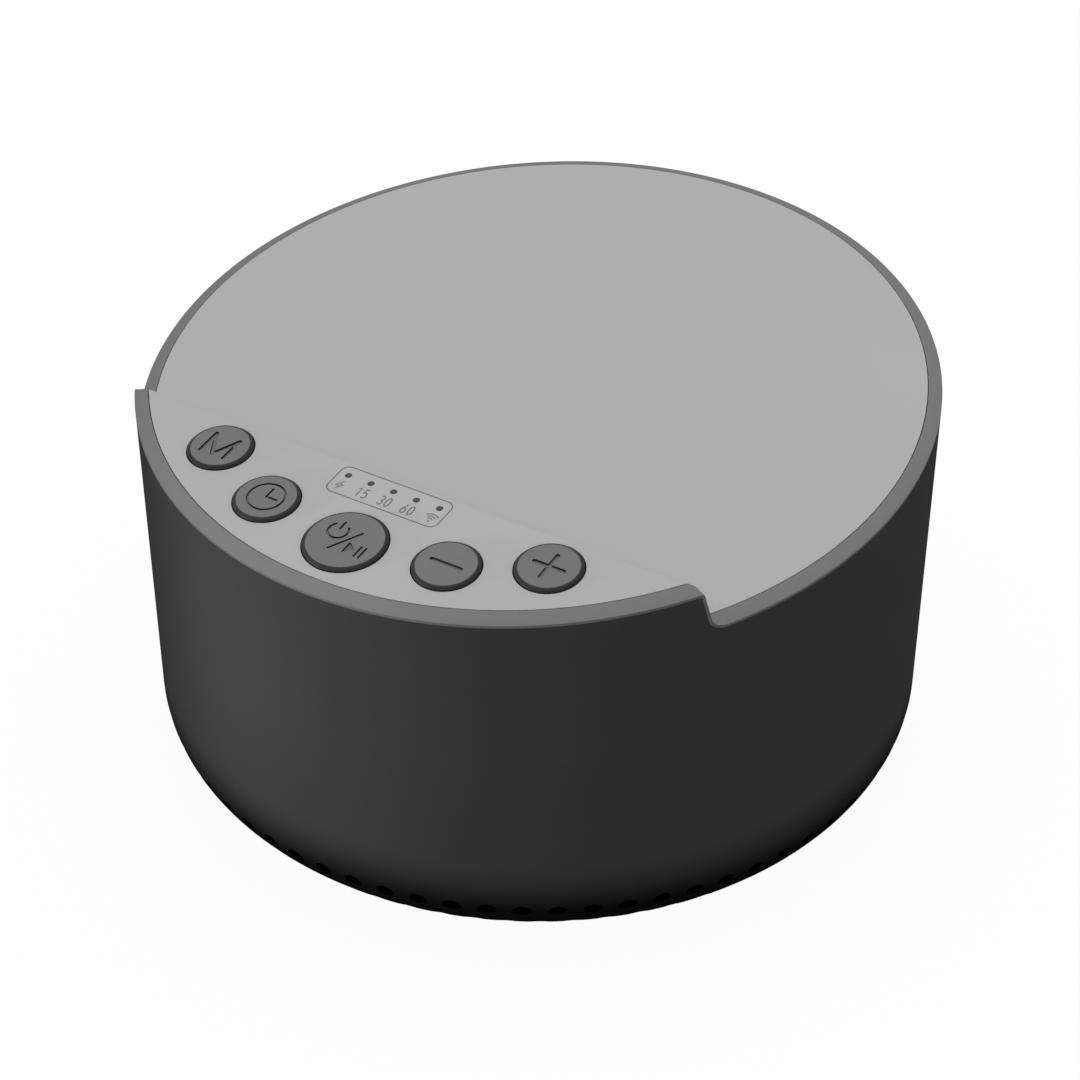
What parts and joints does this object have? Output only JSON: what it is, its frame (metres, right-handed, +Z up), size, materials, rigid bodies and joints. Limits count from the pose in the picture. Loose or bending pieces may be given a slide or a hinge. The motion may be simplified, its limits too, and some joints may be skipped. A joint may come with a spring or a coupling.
{
  "type": "white noise machine",
  "caption": "Round tabletop sound machine with a sloping light grey top, a raised control panel with buttons at the front, and a perforated base over its loudspeaker.",
  "frame": {"origin": "on the table, on the round case's axis", "axes": "+Z up, -Y towards the front with the control panel, +X to the right seen from the front"},
  "size_m": [0.104, 0.104, 0.0593],
  "materials": {
    "shell": "fine satin, dark grey",
    "trim": "satin, mid grey",
    "cover": "fine satin, light grey",
    "button": "satin, mid grey",
    "plunger": "matt black",
    "frame": "matt dark grey",
    "switch_metal": "stamped",
    "board": "green solder mask",
    "screw": "zinc plated",
    "led": "clear resin over a yellow phosphor",
    "light_guide": "smoked",
    "ribbon": "laminated, off white",
    "chip": "matt black",
    "tin": "tin plated",
    "connector": "off white nylon",
    "cell_wrap": "shrink-wrapped, blue",
    "strap": "matt black",
    "lead_red": "red insulation",
    "lead_black": "black insulation",
    "lead_grey": "grey insulation",
    "basket": "stamped, black",
    "pole_steel": "zinc plated",
    "ferrite": "ground ferrite",
    "winding": "enamelled copper wire on a thin former",
    "cone": "pressed black paper",
    "surround": "matt black",
    "spider": "resin-dipped cloth",
    "screen": "open black weave",
    "foot": "matt black"
  },
  "bodies": {
    "case": {"body_shell": "shell", "trim_ring": "trim", "top_cover": "cover", "tact_switches": "switch_metal", "control_board": "board", "control_board_screws": "screw", "indicator_leds": "led", "light_guide": "light_guide", "ribbon_cable": "ribbon", "inner_frame": "frame", "main_board": "board", "main_board_screws": "screw", "board_chips": "chip", "radio_shield": "tin", "capacitors": "tin", "inductor": "chip", "board_connectors": "connector", "battery_cell": "cell_wrap", "battery_strap": "strap", "battery_leads": "lead_red", "port_board": "board", "usb_socket": "tin", "usb_tongue": "chip", "port_board_screws": "screw", "port_leads": "lead_black", "speaker_basket": "basket", "speaker_top_plate": "pole_steel", "speaker_magnet": "ferrite", "speaker_yoke": "pole_steel", "surround": "surround", "spider": "spider", "speaker_gasket": "surround", "speaker_screws": "screw", "speaker_leads": "lead_grey", "dust_screen": "screen", "case_screws": "screw", "rubber_feet": "foot"},
    "mode_button": {"button_mode": "button", "plunger_mode": "plunger"},
    "timer_button": {"button_timer": "button", "plunger_timer": "plunger"},
    "power_button": {"button_power": "button", "plunger_power": "plunger"},
    "minus_button": {"button_minus": "button", "plunger_minus": "plunger"},
    "plus_button": {"button_plus": "button", "plunger_plus": "plunger"},
    "cone": {"speaker_cone": "cone", "dust_cap": "cone", "voice_coil": "winding"}
  },
  "joints": [
    {"name": "mode_press", "type": "slide", "parent": "case", "child": "mode_button", "axis": [0, 0.1271, -0.9919], "range_m": [0, 0.0004], "stiffness_N_per_m": 4000, "springref_m": -0.0001},
    {"name": "timer_press", "type": "slide", "parent": "case", "child": "timer_button", "axis": [0, 0.1271, -0.9919], "range_m": [0, 0.0004], "stiffness_N_per_m": 4000, "springref_m": -0.0001},
    {"name": "power_press", "type": "slide", "parent": "case", "child": "power_button", "axis": [0, 0.1271, -0.9919], "range_m": [0, 0.0004], "stiffness_N_per_m": 4000, "springref_m": -0.0001},
    {"name": "minus_press", "type": "slide", "parent": "case", "child": "minus_button", "axis": [0, 0.1271, -0.9919], "range_m": [0, 0.0004], "stiffness_N_per_m": 4000, "springref_m": -0.0001},
    {"name": "plus_press", "type": "slide", "parent": "case", "child": "plus_button", "axis": [0, 0.1271, -0.9919], "range_m": [0, 0.0004], "stiffness_N_per_m": 4000, "springref_m": -0.0001},
    {"name": "cone_stroke", "type": "slide", "parent": "case", "child": "cone", "axis": [0, 0, 1], "range_m": [-0.001, 0.001], "stiffness_N_per_m": 1500, "deforming": ["surround", "spider"]}
  ]
}
